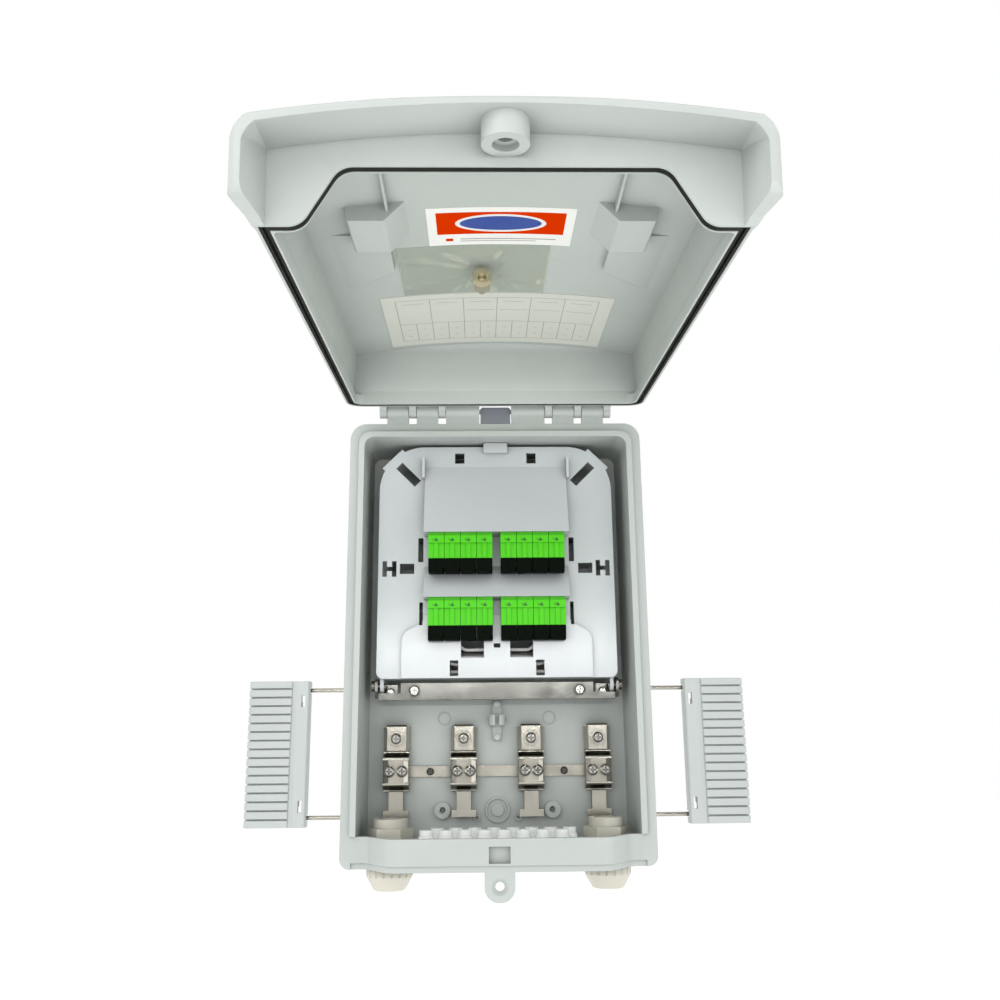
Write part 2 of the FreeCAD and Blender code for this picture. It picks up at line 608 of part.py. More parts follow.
def adapter_panel():
    t = PANEL_T
    outline = frame_outline(PANEL_HALF_W, PANEL_TOP_Z, PANEL_BOTTOM_Z, PANEL_CORNER_R, 5)
    inner = frame_outline(PANEL_HALF_W - t, PANEL_TOP_Z - t, PANEL_BOTTOM_Z + t, PANEL_CORNER_R - t, 5 - t)
    tray = slab("XZ", outline, PANEL_FRONT_Y, PANEL_BACK_Y).cut(slab("XZ", inner, PANEL_FRONT_Y + t, 0))
    solids = [tray]
    hollows = []
    for ramp_top, (row_top, _, front) in zip(RAMP_TOPS, ROWS):
        solids.append(ramp(ramp_top, row_top + 1.5, front - 0.8, RAMP_HALF_W, 0))
        hollows.append(ramp(ramp_top, row_top + 1.5, front - 0.8, RAMP_HALF_W, 1.5))
    # low bell-shaped platform under the lower row
    bell = [(-52, 15, 0), (-54, 10, 6), (-69, 2, 10), (-69, PANEL_BOTTOM_Z, 0), (69, PANEL_BOTTOM_Z, 0),
            (69, 2, 10), (54, 10, 6), (52, 15, 0)]
    solids.append(slab("XZ", bell, PANEL_FRONT_Y - 3.5, PANEL_FRONT_Y + 1))
    # catch at the top, pivot lugs, stiffening ribs and flat ears across the round corners
    solids.append(slab("XZ", [(-9, 138, 0), (-9, 145.6, 1), (9, 145.6, 1), (9, 138, 0)], -41.5, -36))
    for side in (-1, 1):
        front_y = PIVOT_Y - 4.5
        back_y = PIVOT_Y + 4.5
        low = PIVOT_Z - 4.3
        lug = slab("YZ", [(front_y, low, 4.2), (front_y, -26, 0), (back_y, -26, 0), (back_y, low, 4.2)],
                   side * 82.0, side * 84.6)
        solids.append(lug)
        solids.append(block(side * 54 - 1, side * 54 + 1, PANEL_FRONT_Y - 7, PANEL_FRONT_Y + 1, 118, 134))
        ear = block(-10.5, 10.5, PANEL_FRONT_Y, PANEL_FRONT_Y + t, 28, PANEL_CORNER_R + 1.2)
        ear.rotate(Vector(0, 0, 0), Vector(0, 1, 0), side * 45)
        ear.translate(Vector(side * (PANEL_HALF_W - PANEL_CORNER_R), 0, PANEL_TOP_Z - PANEL_CORNER_R))
        solids.append(ear)
    body = join(solids)
    cuts = list(hollows)
    for z_top, _, front in ROWS:
        for x in QUAD_CENTRES_X:
            cuts.append(adapter_window(z_top, front, x))
    # square slots, H cut-outs, corner slots
    for side in (-1, 1):
        cuts.append(block(side * 27 - 3.5, side * 27 + 3.5, -60, -30, 130.5, 138.5))
        slot = block(-10, 10, -60, -30, -3.3, 3.3)
        slot.rotate(Vector(0, 0, 0), Vector(0, 1, 0), -side * 45)
        slot.translate(Vector(side * 65.5, 0, 122))
        cuts.append(slot)
        for x0, x1, z0, z1 in ((73.6, 76.8, 44.2, 55.8), (80.6, 83.8, 44.2, 55.8), (76.8, 80.6, 48.4, 51.6),
                               (60.5, 71, 46.2, 53.8), (53.8, 57.6, 55, 73), (53.8, 56.4, 8, 25)):
            cuts.append(block(min(side * x0, side * x1), max(side * x0, side * x1), -60, -30, z0, z1))
        cuts.append(block(side * 31 - 3.0, side * 31 + 3.0, -60, -30, -28.5, -17.5))
        cuts.append(block(min(side * 9.5, side * 26), max(side * 9.5, side * 26), -60, -30, -15.5, -1.5))
        cuts.append(rod(PIVOT_PIN_R, (side * 80, PIVOT_Y, PIVOT_Z), (side * 90, PIVOT_Y, PIVOT_Z)))
    cuts.append(block(-2.3, 2.3, -60, -30, -8.5, -5.5))
    return body.cut(cuts)


def panel_pivot_pins():
    pin = rod(PIVOT_PIN_R, (81.2, PIVOT_Y, PIVOT_Z), (90.2, PIVOT_Y, PIVOT_Z))
    return Part.makeCompound(both_sides(pin))


def adapter_xs(quad_x):
    return [quad_x + (i - 1.5) * ADAPTER_PITCH for i in range(4)]


def adapter_quad(row, quad_x):
    """Four adapters side by side: body below the wall, collar, and rear half under the ramp."""
    z_top, low, front = ROWS[row]
    solids = []
    for x in adapter_xs(quad_x):
        half = ADAPTER_W / 2
        back = front + ADAPTER_DEPTH
        body = block(x - half, x + half, front + 1.5, back, low, z_top + 3)
        rear = block(x - half, x + half, front + 7.0, back, z_top + 2, z_top + 9)
        collar = block(x - half, x + half, front, back + 1.2, z_top - 6.5, z_top - 1.0)
        key = block(x - 1.6, x + 1.6, front + 0.8, front + 2, low, z_top - 6)
        shape = join([body, rear, collar, key])
        mouth = block(x - 3.8, x + 3.8, front + 3.0, back - 1.6, low - 1, low + 11)
        slot = block(x - 2.4, x - 1.9, front - 1, front + 1.6, z_top - 4.5, z_top - 3.5)
        solids.append(shape.cut([mouth, slot]))
    return Part.makeCompound(solids)


def dust_cap_quad(row, quad_x):
    z_top, low, front = ROWS[row]
    back = front + ADAPTER_DEPTH
    solids = []
    for x in adapter_xs(quad_x):
        half = ADAPTER_W / 2 - 0.05
        end = low - CAP_LENGTH
        cap = slab("XZ", [(x - half, end, 0.6), (x - half, low - 0.2, 0), (x + half, low - 0.2, 0),
                          (x + half, end, 0.6)], front + 1.2, back)
        plug = block(x - 3.6, x + 3.6, front + 3.2, back - 1.8, low - 1, low + 9)
        notch = block(x + half - 0.9, x + half + 1, front, front + 3.4, end - 1, end + 3.0)
        solids.append(join([cap, plug]).cut(notch))
    return Part.makeCompound(solids)


def pigtail_tubes():
    """White buffer tubes that pass behind the two windows of the panel."""
    solids = []
    for i in range(4):
        half_w = 47.0 - i * 6.0
        low = -26.0 + i * 5.2
        outer = frame_outline(half_w, 45.0, low, 20 - i * 3, 14 - i * 2)
        inner = frame_outline(half_w - 2.0, 43.0, low + 2.0, 18 - i * 3, 12 - i * 2)
        solids.append(slab("XZ", outer, -33.0, -31.0).cut(slab("XZ", inner, -34, -30)))
    return Part.makeCompound(solids)


# ---- parts behind the panel ----
def splice_tray():
    wall = 1.6
    round_r = TRAY_CORNER_R - wall
    outer = frame_outline(TRAY_HALF_W, TRAY_TOP_Z, TRAY_BOTTOM_Z, TRAY_CORNER_R, TRAY_CORNER_R)
    inner = frame_outline(TRAY_HALF_W - wall, TRAY_TOP_Z - wall, TRAY_BOTTOM_Z + wall, round_r, round_r)
    pieces = [slab("XZ", outer, TRAY_FRONT_Y, BOSS_FRONT_Y).cut(slab("XZ", inner, -20, BOSS_FRONT_Y - 1.4))]
    for z in SPOOL_ZS:
        pieces.extend(both_sides(tube(17, 15.5, (SPOOL_X, -7, z), (SPOOL_X, -15.0, z))))
    cuts = both_sides(block(18, 30, -20, -12, TRAY_BOTTOM_Z - 2, TRAY_BOTTOM_Z + 3))
    for x, z in TRAY_SCREWS:
        cuts.extend(both_sides(rod(1.6, (x, -20, z), (x, 0, z))))
    return join(pieces).cut(cuts)


def splice_holder():
    base = block(-22, 22, -8.6, -7.4, 36, 80)
    combs = [base]
    for i in range(9):
        x = -20 + i * 5
        combs.append(block(x - 0.6, x + 0.6, -13.5, -8, 38, 44))
        combs.append(block(x - 0.6, x + 0.6, -13.5, -8, 72, 78))
    return join(combs)


def splice_sleeves():
    solids = []
    for i in range(8):
        x = -17.5 + i * 5
        solids.append(rod(1.5, (x, -10.4, 37), (x, -10.4, 79)))
    return Part.makeCompound(solids)


def splice_cover():
    outline = frame_outline(TRAY_HALF_W, TRAY_TOP_Z, TRAY_BOTTOM_Z, TRAY_CORNER_R, TRAY_CORNER_R)
    plate = slab("XZ", outline, TRAY_FRONT_Y - 1.5, TRAY_FRONT_Y - 0.1)
    cuts = []
    for x, z in TRAY_SCREWS:
        cuts.extend(both_sides(rod(1.7, (x, -25, z), (x, -10, z))))
    return plate.cut(cuts)


def tray_support_rail():
    w = RAIL_HALF_W
    low = RAIL_BOTTOM_Z
    front = RAIL_FRONT_Y
    x, z = RAIL_SCREW
    foot_x, foot_z = RAIL_FOOT_SCREW
    pieces = [
        block(-w, w, front, front + SHEET_T, low + SHEET_T, low + 4.8),
        block(-w + 16, w - 16, front, front + SHEET_T, low + SHEET_T, low + 12),
        block(-w, w, front, RAIL_BACK_Y, low, low + SHEET_T),
    ]
    foot = block(foot_x - 5, foot_x + 5, RAIL_BACK_Y - SHEET_T, RAIL_BACK_Y, low, low + 11.4)
    pieces.extend(both_sides(foot))
    cuts = both_sides(rod(2.1, (x, front - 2, z), (x, front + 4, z)))
    cuts += both_sides(rod(2.1, (foot_x, -20, foot_z), (foot_x, -10, foot_z)))
    return join(pieces).cut(cuts)


def pan_head_screw(x, y, z, head_r, head_t, shank_r, shank_l):
    """A screw along +Y whose head sits in front of the level y."""
    rim = head_t * 0.45
    dome = Part.makeCone(head_r, head_r * 0.66, head_t - rim, Vector(x, y - rim, z), Vector(0, -1, 0))
    head = rod(head_r, (x, y, z), (x, y - rim, z)).fuse(dome)
    shank = rod(shank_r, (x, y - 0.1, z), (x, y + shank_l, z))
    arm = head_r * 0.55
    low = y - head_t * 0.35
    cross = [block(x - arm, x + arm, y - head_t - 1, low, z - 0.55, z + 0.55),
             block(x - 0.55, x + 0.55, y - head_t - 1, low, z - arm, z + arm)]
    return head.fuse(shank).cut(cross)


def rail_screws():
    x, z = RAIL_SCREW
    foot_x, foot_z = RAIL_FOOT_SCREW
    nut_y = RAIL_FRONT_Y + SHEET_T
    solids = both_sides(pan_head_screw(x, RAIL_FRONT_Y, z, 4.0, 2.6, 1.9, 5.0))
    solids += both_sides(tube(3.6, 2.0, (x, nut_y, z), (x, nut_y + 2.8, z)))
    solids += both_sides(pan_head_screw(foot_x, RAIL_BACK_Y - SHEET_T, foot_z, 3.2, 1.8, 1.9, 1.2))
    return Part.makeCompound(solids)


def pivot_bracket():
    """A blackened metal ear that carries one end of the panel's pivot axis."""
    low = RAIL_BOTTOM_Z + SHEET_T
    front_y = PIVOT_Y - 4.6
    back_y = PIVOT_Y + 11
    ear = slab("YZ", [(front_y, PIVOT_Z + 5, 3), (back_y, PIVOT_Z + 5, 3), (back_y, low, 0),
                      (PIVOT_Y - 0.8, low, 0), (front_y, PIVOT_Z - 4, 2)], 86.2, 88.4)
    foot = block(83.6, 88.4, -25.6, RAIL_BACK_Y, low, low + SHEET_T)
    boss = rod(3.8, (88.0, PIVOT_Y, PIVOT_Z), (91.0, PIVOT_Y, PIVOT_Z))
    return join([ear, foot, boss]).cut(rod(PIVOT_HOLE_R, (80, PIVOT_Y, PIVOT_Z), (95, PIVOT_Y, PIVOT_Z)))


# ---- cable fixing ----
def clamp_bar():
    bar = block(-80, 80, BAR_FRONT_Y, -FLOOR_T, BAR_SCREW_Z - 3.9, BAR_SCREW_Z + 4.0)
    return bar.cut(both_sides(rod(2.0, (BAR_SCREW_X, -6, BAR_SCREW_Z), (BAR_SCREW_X, -1, BAR_SCREW_Z))))


def bar_screws():
    screw = pan_head_screw(BAR_SCREW_X, BAR_FRONT_Y, BAR_SCREW_Z, 2.6, 1.6, 1.8, 1.4)
    return Part.makeCompound(both_sides(screw))


def clamp_base(x):
    """A bent strip: wide head, narrow stem and a cross foot at the cable end."""
    w = CLAMP_HALF_W
    stem_w = STEM_HALF_W
    low = BAR_FRONT_Y
    seat_y = low - SHEET_T
    shelf_y = low - 4.5
    seat = block(x - w, x + w, seat_y, low, -109.0, -62.5)
    stem = block(x - stem_w, x + stem_w, seat_y, low, -126, -109.0)
    rise = block(x - stem_w, x + stem_w, shelf_y, low, -110.2, -109.0)
    shelf = block(x - stem_w, x + stem_w, shelf_y - SHEET_T, shelf_y, -122, -109.0)
    foot = block(x - w + 0.65, x + w - 0.65, shelf_y - SHEET_T, shelf_y, -127, -122)
    drop = block(x - stem_w, x + stem_w, shelf_y, low, -127, -125.8)
    return join([seat, stem, rise, shelf, foot, drop])


def two_sided(x, half):
    """The outline of a folded sheet: its right half, then the same mirrored about the centre x."""
    outline = [(x + u, v, r) for u, v, r in half]
    return outline + [(x - u, v, r) for u, v, r in reversed(half)]


def strength_clamp(x):
    """The folded bracket that grips a cable's strength member."""
    top = CLAMP_TOP_Y
    half = [(7.4, top, 1.5), (9.5, -8.5, 2), (9.5, -5.7, 0), (8.1, -5.7, 0), (8.1, -8.3, 1),
            (6.4, top + 1.4, 0.5)]
    folded = slab("XY", two_sided(x, half), -80.0, -63.0)
    lip = slab("YZ", [(top, -64, 0), (top, -61.4, 2.2), (-8.5, -61.4, 0), (-8.5, -62.8, 0),
                      (top + 1.4, -62.8, 1), (top + 1.4, -64, 0)], x - 7.0, x + 7.0)
    washer = rod(5.2, (x, top, CLAMP_SCREW_Z), (x, top - 0.8, CLAMP_SCREW_Z))
    hole = rod(2.1, (x, -20, CLAMP_SCREW_Z), (x, -8, CLAMP_SCREW_Z))
    return join([folded, lip, washer]).cut(hole)


def cable_saddle(x):
    """The two-screw bridge that holds the cable sheath."""
    top = SADDLE_TOP_Y
    half = [(5.5, top, 2), (9.5, -12.4, 1.5), (9.5, -5.7, 0), (8.1, -5.7, 0), (8.1, -11.6, 1),
            (4.8, top + 1.4, 1)]
    body = slab("XY", two_sided(x, half), CABLE_SADDLE_Z - 8.25, CABLE_SADDLE_Z + 8.25)
    skirt = [(top, 8.0, 0), (top, 10.2, 1.8), (-8.4, 12.0, 2.4), (-8.4, 13.9, 0), (-7.2, 13.9, 0),
             (-7.2, 10.8, 2.4), (top + SHEET_T, 9.0, 1.6), (top + SHEET_T, 8.0, 0)]
    pieces = [body]
    for side in (-1, 1):
        bent = [(y, CABLE_SADDLE_Z + side * z, r) for y, z, r in skirt]
        pieces.append(slab("YZ", bent, x - CLAMP_HALF_W, x + CLAMP_HALF_W))
    holes = []
    for screw_x in (x - SADDLE_SCREW_DX, x + SADDLE_SCREW_DX):
        holes.append(rod(1.9, (screw_x, -20, SADDLE_SCREW_Z), (screw_x, -8, SADDLE_SCREW_Z)))
    return join(pieces).cut(holes)


def clamp_screws():
    solids = []
    for x in CLAMP_XS:
        solids.append(pan_head_screw(x, CLAMP_TOP_Y - 0.8, CLAMP_SCREW_Z, 3.8, 2.2, 1.8, 8.0))
        for screw_x in (x - SADDLE_SCREW_DX, x + SADDLE_SCREW_DX):
            solids.append(pan_head_screw(screw_x, SADDLE_TOP_Y, SADDLE_SCREW_Z, 4.0, 2.4, 1.7, 7.0))
    return Part.makeCompound(solids)


def cable_guide_clip():
    """A small moulded clip on the floor that gathers the fibres."""
    foot = block(-3.25, 3.25, -5.0, -3.0, -73, -45)
    ring = tube(6.0, 4.2, (0, -11.0, -62.5), (0, -11.0, -55))
    gap = block(-1.6, 1.6, -20, -11, -64, -54)
    stem = block(-3.0, 3.0, -7.0, -4.5, -62.5, -55)
    posts = [rod(2.2, (0, -4.5, -71), (0, -8.5, -71)), rod(2.2, (0, -4.5, -47), (0, -8.5, -47))]
    return join([foot, ring.cut(gap), stem] + posts)


# ---- cable entries ----
def gland_body(side):
    x = side * GLAND_X
    thread = rod(GLAND_THREAD_R, (x, GLAND_Y, -162), (x, GLAND_Y, -126))
    collar = hexagon(30, x, GLAND_Y, -149.5, GLAND_WALL_BOTTOM)
    return join([thread, collar]).cut(rod(GLAND_BORE_R, (x, GLAND_Y, -170), (x, GLAND_Y, -120)))


def gland_nut(side):
    x = side * GLAND_X
    grip = hexagon(28, x, GLAND_Y, -139.0, -132.0)
    washer = rod(15.0, (x, GLAND_Y, GLAND_WALL_TOP), (x, GLAND_Y, GLAND_WALL_TOP + 2))
    return join([grip, washer]).cut(rod(GLAND_THREAD_R + 0.05, (x, GLAND_Y, -145), (x, GLAND_Y, -125)))


def gland_cap(side):
    x = side * GLAND_X
    r = GLAND_CAP_R
    profile = [(0, -149.8, 0), (r, -149.8, 1), (r, -163.0, 6), (10.5, -172.5, 2.5), (0, -172.5, 0)]
    face = Part.Face(rounded_wire("XZ", profile, 0))
    dome = face.revolve(Vector(0, 0, 0), Vector(0, 0, 1), 360)
    dome.translate(Vector(x, GLAND_Y, 0))
    cuts = [rod(GLAND_THREAD_R + 0.1, (x, GLAND_Y, -164.5), (x, GLAND_Y, -148))]
    cuts.append(rod(7.0, (x, GLAND_Y, -180), (x, GLAND_Y, -160)))
    for i in range(GLAND_GRIPS):
        turn = 2 * math.pi * i / GLAND_GRIPS
        gx = x + (r + 0.6) * math.cos(turn)
        gy = GLAND_Y + (r + 0.6) * math.sin(turn)
        cuts.append(rod(1.1, (gx, gy, -163), (gx, gy, -151.5)))
    return dome.cut(cuts)


def gland_seal(side):
    x = side * GLAND_X
    return tube(8.4, 6.0, (x, GLAND_Y, -161.5), (x, GLAND_Y, -154))


def drop_grommets(row_y):
    solids = []
    for x, y in drop_port_centres():
        if y != row_y:
            continue
        sleeve = rod(DROP_HOLE_R, (x, y, -150), (x, y, -132))
        collar = Part.makeCone(6.2, 5.0, 4.8, Vector(x, y, GLAND_WALL_TOP), Vector(0, 0, 1))
        solids.append(join([sleeve, collar]).cut(rod(1.6, (x, y, -152), (x, y, -130))))
    return Part.makeCompound(solids)


def main():
    os.makedirs("parts", exist_ok=True)
    save("base_shell", base_shell())
    save("hinge_pins", hinge_pins())
    for make in (lid_shell, lid_gasket, record_label, notice_label, accessory_bag, lock_key):
        save(make.__name__, opened(make()))
    for name, shape in (("latch_bail", bail()), ("latch_lever", lever())):
        save(name + "_right", shape)
        save(name + "_left", mirror_x(shape))
    save("adapter_panel", adapter_panel())
    save("panel_pivot_pins", panel_pivot_pins())
    number = 0
    for row in range(len(ROWS)):
        for quad_x in QUAD_CENTRES_X:
            number += 1
            save("adapters_%d" % number, adapter_quad(row, quad_x))
            save("dust_caps_%d" % number, dust_cap_quad(row, quad_x))
    save("pigtail_tubes", pigtail_tubes())
    save("splice_tray", splice_tray())
    save("splice_holder", splice_holder())
    save("splice_sleeves", splice_sleeves())
    save("splice_cover", splice_cover())
    save("tray_support_rail", tray_support_rail())
    save("rail_screws", rail_screws())
    save("pivot_bracket_right", pivot_bracket())
    save("pivot_bracket_left", mirror_x(pivot_bracket()))
    save("clamp_bar", clamp_bar())
    save("bar_screws", bar_screws())
    for i, x in enumerate(CLAMP_XS, 1):
        save("clamp_base_%d" % i, clamp_base(x))
        save("strength_clamp_%d" % i, strength_clamp(x))
        save("cable_saddle_%d" % i, cable_saddle(x))
    save("clamp_screws", clamp_screws())
    save("cable_guide_clip", cable_guide_clip())
    for side, name in ((-1, "left"), (1, "right")):
        save("gland_body_" + name, gland_body(side))
        save("gland_nut_" + name, gland_nut(side))
        save("gland_cap_" + name, gland_cap(side))
        save("gland_seal_" + name, gland_seal(side))
    save("drop_grommets_front", drop_grommets(DROP_FRONT_Y))
    save("drop_grommets_back", drop_grommets(DROP_BACK_Y))


main()
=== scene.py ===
"""Looks for the wall-mounted fibre termination box: materials, cards, the film bag and small trim."""
import json
import math
import random

import bmesh
import bpy
from mathutils import Matrix, Vector


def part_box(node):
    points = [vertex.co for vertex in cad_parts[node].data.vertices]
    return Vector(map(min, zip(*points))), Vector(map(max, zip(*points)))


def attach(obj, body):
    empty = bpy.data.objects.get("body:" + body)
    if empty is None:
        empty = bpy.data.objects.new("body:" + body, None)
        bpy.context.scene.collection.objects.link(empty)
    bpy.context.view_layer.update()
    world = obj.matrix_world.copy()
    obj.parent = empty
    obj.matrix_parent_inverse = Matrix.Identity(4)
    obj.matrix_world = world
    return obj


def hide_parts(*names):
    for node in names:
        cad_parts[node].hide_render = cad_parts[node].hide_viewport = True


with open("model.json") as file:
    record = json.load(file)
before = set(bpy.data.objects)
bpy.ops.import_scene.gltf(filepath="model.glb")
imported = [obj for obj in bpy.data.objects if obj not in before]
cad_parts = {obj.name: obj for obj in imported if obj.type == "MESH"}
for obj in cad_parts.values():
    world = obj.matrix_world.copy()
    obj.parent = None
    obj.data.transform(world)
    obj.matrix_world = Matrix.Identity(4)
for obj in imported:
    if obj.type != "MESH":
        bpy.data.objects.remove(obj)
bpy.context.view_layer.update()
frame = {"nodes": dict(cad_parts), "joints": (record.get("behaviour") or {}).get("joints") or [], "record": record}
NODES = frame["nodes"]
JOINTS = {j["name"]: j for j in frame["joints"]}
MM = 0.001
SMOOTH_ANGLE = math.radians(32)
GRAIN_SCALE = 2600           # noise cells per metre in moulded plastic
BRUSH_SCALE = 700            # noise cells per metre across the brushing of steel
CARD_T = 0.35 * MM
NOTICE_T = 0.3 * MM
INK_T = 0.05 * MM
NOTICE_INK_T = 0.04 * MM
RULE_W = 0.45 * MM
LABEL_NODE_T = 0.4 * MM
ADAPTER_W = 11.4 * MM
MARK_DROP = 14.2 * MM        # foot of the moulded arrow, below the top of its adapter
KNUCKLE_GAP = 0.2 * MM
WEB_SEGMENTS = 20
FOLD_COUNT = 11
FILM_LIFT = 0.30 * MM
BACK_FILM_LIFT = 0.15 * MM
FLOOR_LEVEL = -0.42
FLOOR_HALF = 6.0


# ---- node helpers ----
def new_material(name):
    material = bpy.data.materials.new(name)
    material.use_nodes = True
    tree = material.node_tree
    tree.nodes.clear()
    out = tree.nodes.new("ShaderNodeOutputMaterial")
    shader = tree.nodes.new("ShaderNodeBsdfPrincipled")
    tree.links.new(shader.outputs["BSDF"], out.inputs["Surface"])
    return material, tree, shader


def object_coords(tree, stretch=(1, 1, 1)):
    coords = tree.nodes.new("ShaderNodeTexCoord")
    mapping = tree.nodes.new("ShaderNodeMapping")
    mapping.inputs["Scale"].default_value = stretch
    tree.links.new(coords.outputs["Object"], mapping.inputs["Vector"])
    return mapping.outputs["Vector"]


def noise(tree, vector, scale, detail=2.0, rough=0.5):
    node = tree.nodes.new("ShaderNodeTexNoise")
    node.inputs["Scale"].default_value = scale
    node.inputs["Detail"].default_value = detail
    node.inputs["Roughness"].default_value = rough
    tree.links.new(vector, node.inputs["Vector"])
    return node.outputs["Fac"]


def remap(tree, value, low, high, from_low=0.3, from_high=0.7):
    node = tree.nodes.new("ShaderNodeMapRange")
    node.inputs["From Min"].default_value = from_low
    node.inputs["From Max"].default_value = from_high
    node.inputs["To Min"].default_value = low
    node.inputs["To Max"].default_value = high
    tree.links.new(value, node.inputs["Value"])
    return node.outputs["Result"]


def mix_colour(tree, factor, a, b):
    """Mixes two colours, each a tuple or a socket."""
    node = tree.nodes.new("ShaderNodeMix")
    node.data_type = "RGBA"
    tree.links.new(factor, node.inputs["Factor"])
    for socket, value in (("A", a), ("B", b)):
        target = [s for s in node.inputs if s.name == socket and s.type == "RGBA"][0]
        if isinstance(value, tuple):
            target.default_value = (*value, 1.0)
        else:
            tree.links.new(value, target)
    return [s for s in node.outputs if s.type == "RGBA"][0]


def bevel_normal(tree, radius):
    node = tree.nodes.new("ShaderNodeBevel")
    node.samples = 4
    node.inputs["Radius"].default_value = radius
    return node.outputs["Normal"]


def bump(tree, height, strength, distance, normal=None):
    node = tree.nodes.new("ShaderNodeBump")
    node.inputs["Strength"].default_value = strength
    node.inputs["Distance"].default_value = distance
    tree.links.new(height, node.inputs["Height"])
    if normal is not None:
        tree.links.new(normal, node.inputs["Normal"])
    return node.outputs["Normal"]


def grey(tree, level):
    """A grey colour whose level is a socket."""
    node = tree.nodes.new("ShaderNodeCombineColor")
    for channel in ("Red", "Green", "Blue"):
        tree.links.new(level, node.inputs[channel])
    return node.outputs["Color"]


def math_node(tree, operation, *values):
    node = tree.nodes.new("ShaderNodeMath")
    node.operation = operation
    for slot, value in zip(node.inputs, values):
        tree.links.new(value, slot)
    return node.outputs["Value"]


def scaled(colour, factor):
    return tuple(min(1.0, c * factor) for c in colour)


def edge_mask(tree, low=0.52, high=0.60):
    """Bright on convex edges, from the mesh curvature."""
    geometry = tree.nodes.new("ShaderNodeNewGeometry")
    return remap(tree, geometry.outputs["Pointiness"], 0.0, 1.0, low, high)


def paint_hollow_shade(tree, tone, reach, darkest, open_at=0.85):
    """The tone darkened in hollows narrower than the reach: painted shade, from ambient occlusion."""
    node = tree.nodes.new("ShaderNodeAmbientOcclusion")
    node.samples = 6
    node.inputs["Distance"].default_value = reach
    shade = grey(tree, remap(tree, node.outputs["AO"], darkest, 1.0, 0.1, open_at))
    product = tree.nodes.new("ShaderNodeMix")
    product.data_type = "RGBA"
    product.blend_type = "MULTIPLY"
    product.inputs[0].default_value = 1.0
    sockets = [i for i in product.inputs if i.type == "RGBA"]
    tree.links.new(tone, sockets[0])
    tree.links.new(shade, sockets[1])
    return [o for o in product.outputs if o.type == "RGBA"][0]


# ---- materials ----
def moulded_plastic(name, colour, rough=0.42, grain=0.00006, edge=0.0006, sheen=0.08, gloss=0.45,
                    scuffs=0.08, reach=0.04, darkest=0.5):
    """Injection-moulded plastic: slow tone drift, fine spark-eroded grain, scuffs, rubbed edges and painted shade
    in hollows.
    """
    material, tree, shader = new_material(name)
    coords = object_coords(tree)
    drift = noise(tree, coords, 9, 3)
    tone = mix_colour(tree, remap(tree, drift, 0, 1), scaled(colour, 0.95), scaled(colour, 1.04))
    cloud = noise(tree, coords, 60, 5, 0.62)
    tone = mix_colour(tree, remap(tree, cloud, 0, 0.35, 0.55, 0.85), tone, scaled(colour, 0.90))
    tone = mix_colour(tree, remap(tree, edge_mask(tree), 0, 0.55, 0, 1), tone, scaled(colour, 1.05))
    # Painted shade: the tone is darkened in hollows narrower than the reach.
    tree.links.new(paint_hollow_shade(tree, tone, reach, darkest), shader.inputs["Base Color"])
    scuff = noise(tree, object_coords(tree, (1, 1, 0.4)), 260, 4, 0.7)
    tree.links.new(remap(tree, scuff, rough - scuffs, rough + scuffs), shader.inputs["Roughness"])
    shader.inputs["Specular IOR Level"].default_value = gloss
    shader.inputs["Coat Weight"].default_value = sheen
    shader.inputs["Coat Roughness"].default_value = 0.35
    fine = noise(tree, coords, GRAIN_SCALE, 2)
    ripple = noise(tree, coords, 38, 2)
    normal = bump(tree, ripple, 0.25, 0.0004, bevel_normal(tree, edge))
    normal = bump(tree, fine, 0.55, grain, normal)
    tree.links.new(normal, shader.inputs["Normal"])
    return material


def sheet_metal(name, colour, rough=0.26, stretch=(1, 1, 30), reach=0.005):
    """Pressed stainless sheet or drawn wire: fine one-way brushing, faint smudges, and painted shade in joints and
    crevices.
    """
    material, tree, shader = new_material(name)
    coords = object_coords(tree)
    brush = noise(tree, object_coords(tree, stretch), BRUSH_SCALE, 3, 0.6)
    smudge = noise(tree, coords, 70, 3, 0.5)
    tone = mix_colour(tree, remap(tree, brush, 0, 1), scaled(colour, 0.9), scaled(colour, 1.08))
    tone = mix_colour(tree, remap(tree, smudge, 0, 0.12, 0.5, 0.85), tone, scaled(colour, 0.8))
    # Painted shade: the tone is darkened strongly in joints and crevices narrower than the reach.
    tree.links.new(paint_hollow_shade(tree, tone, reach, 0.08, 0.95), shader.inputs["Base Color"])
    shader.inputs["Metallic"].default_value = 1.0
    tree.links.new(remap(tree, smudge, rough - 0.02, rough + 0.04), shader.inputs["Roughness"])
    normal = bump(tree, brush, 0.12, 0.00002, bevel_normal(tree, 0.0003))
    tree.links.new(normal, shader.inputs["Normal"])
    return material


def rubber(name, colour, rough=0.62):
    """Soft black or grey rubber with a fine cell and a dull bloom."""
    material, tree, shader = new_material(name)
    coords = object_coords(tree)
    cells = noise(tree, coords, 1800, 3, 0.7)
    bloom = noise(tree, coords, 55, 4)
    tone = mix_colour(tree, remap(tree, bloom, 0, 1), colour, scaled(colour, 1.6))
    tree.links.new(tone, shader.inputs["Base Color"])
    tree.links.new(remap(tree, bloom, rough - 0.08, rough + 0.1), shader.inputs["Roughness"])
    shader.inputs["Specular IOR Level"].default_value = 0.15
    tree.links.new(bump(tree, cells, 0.6, 0.00012, bevel_normal(tree, 0.0003)), shader.inputs["Normal"])
    return material


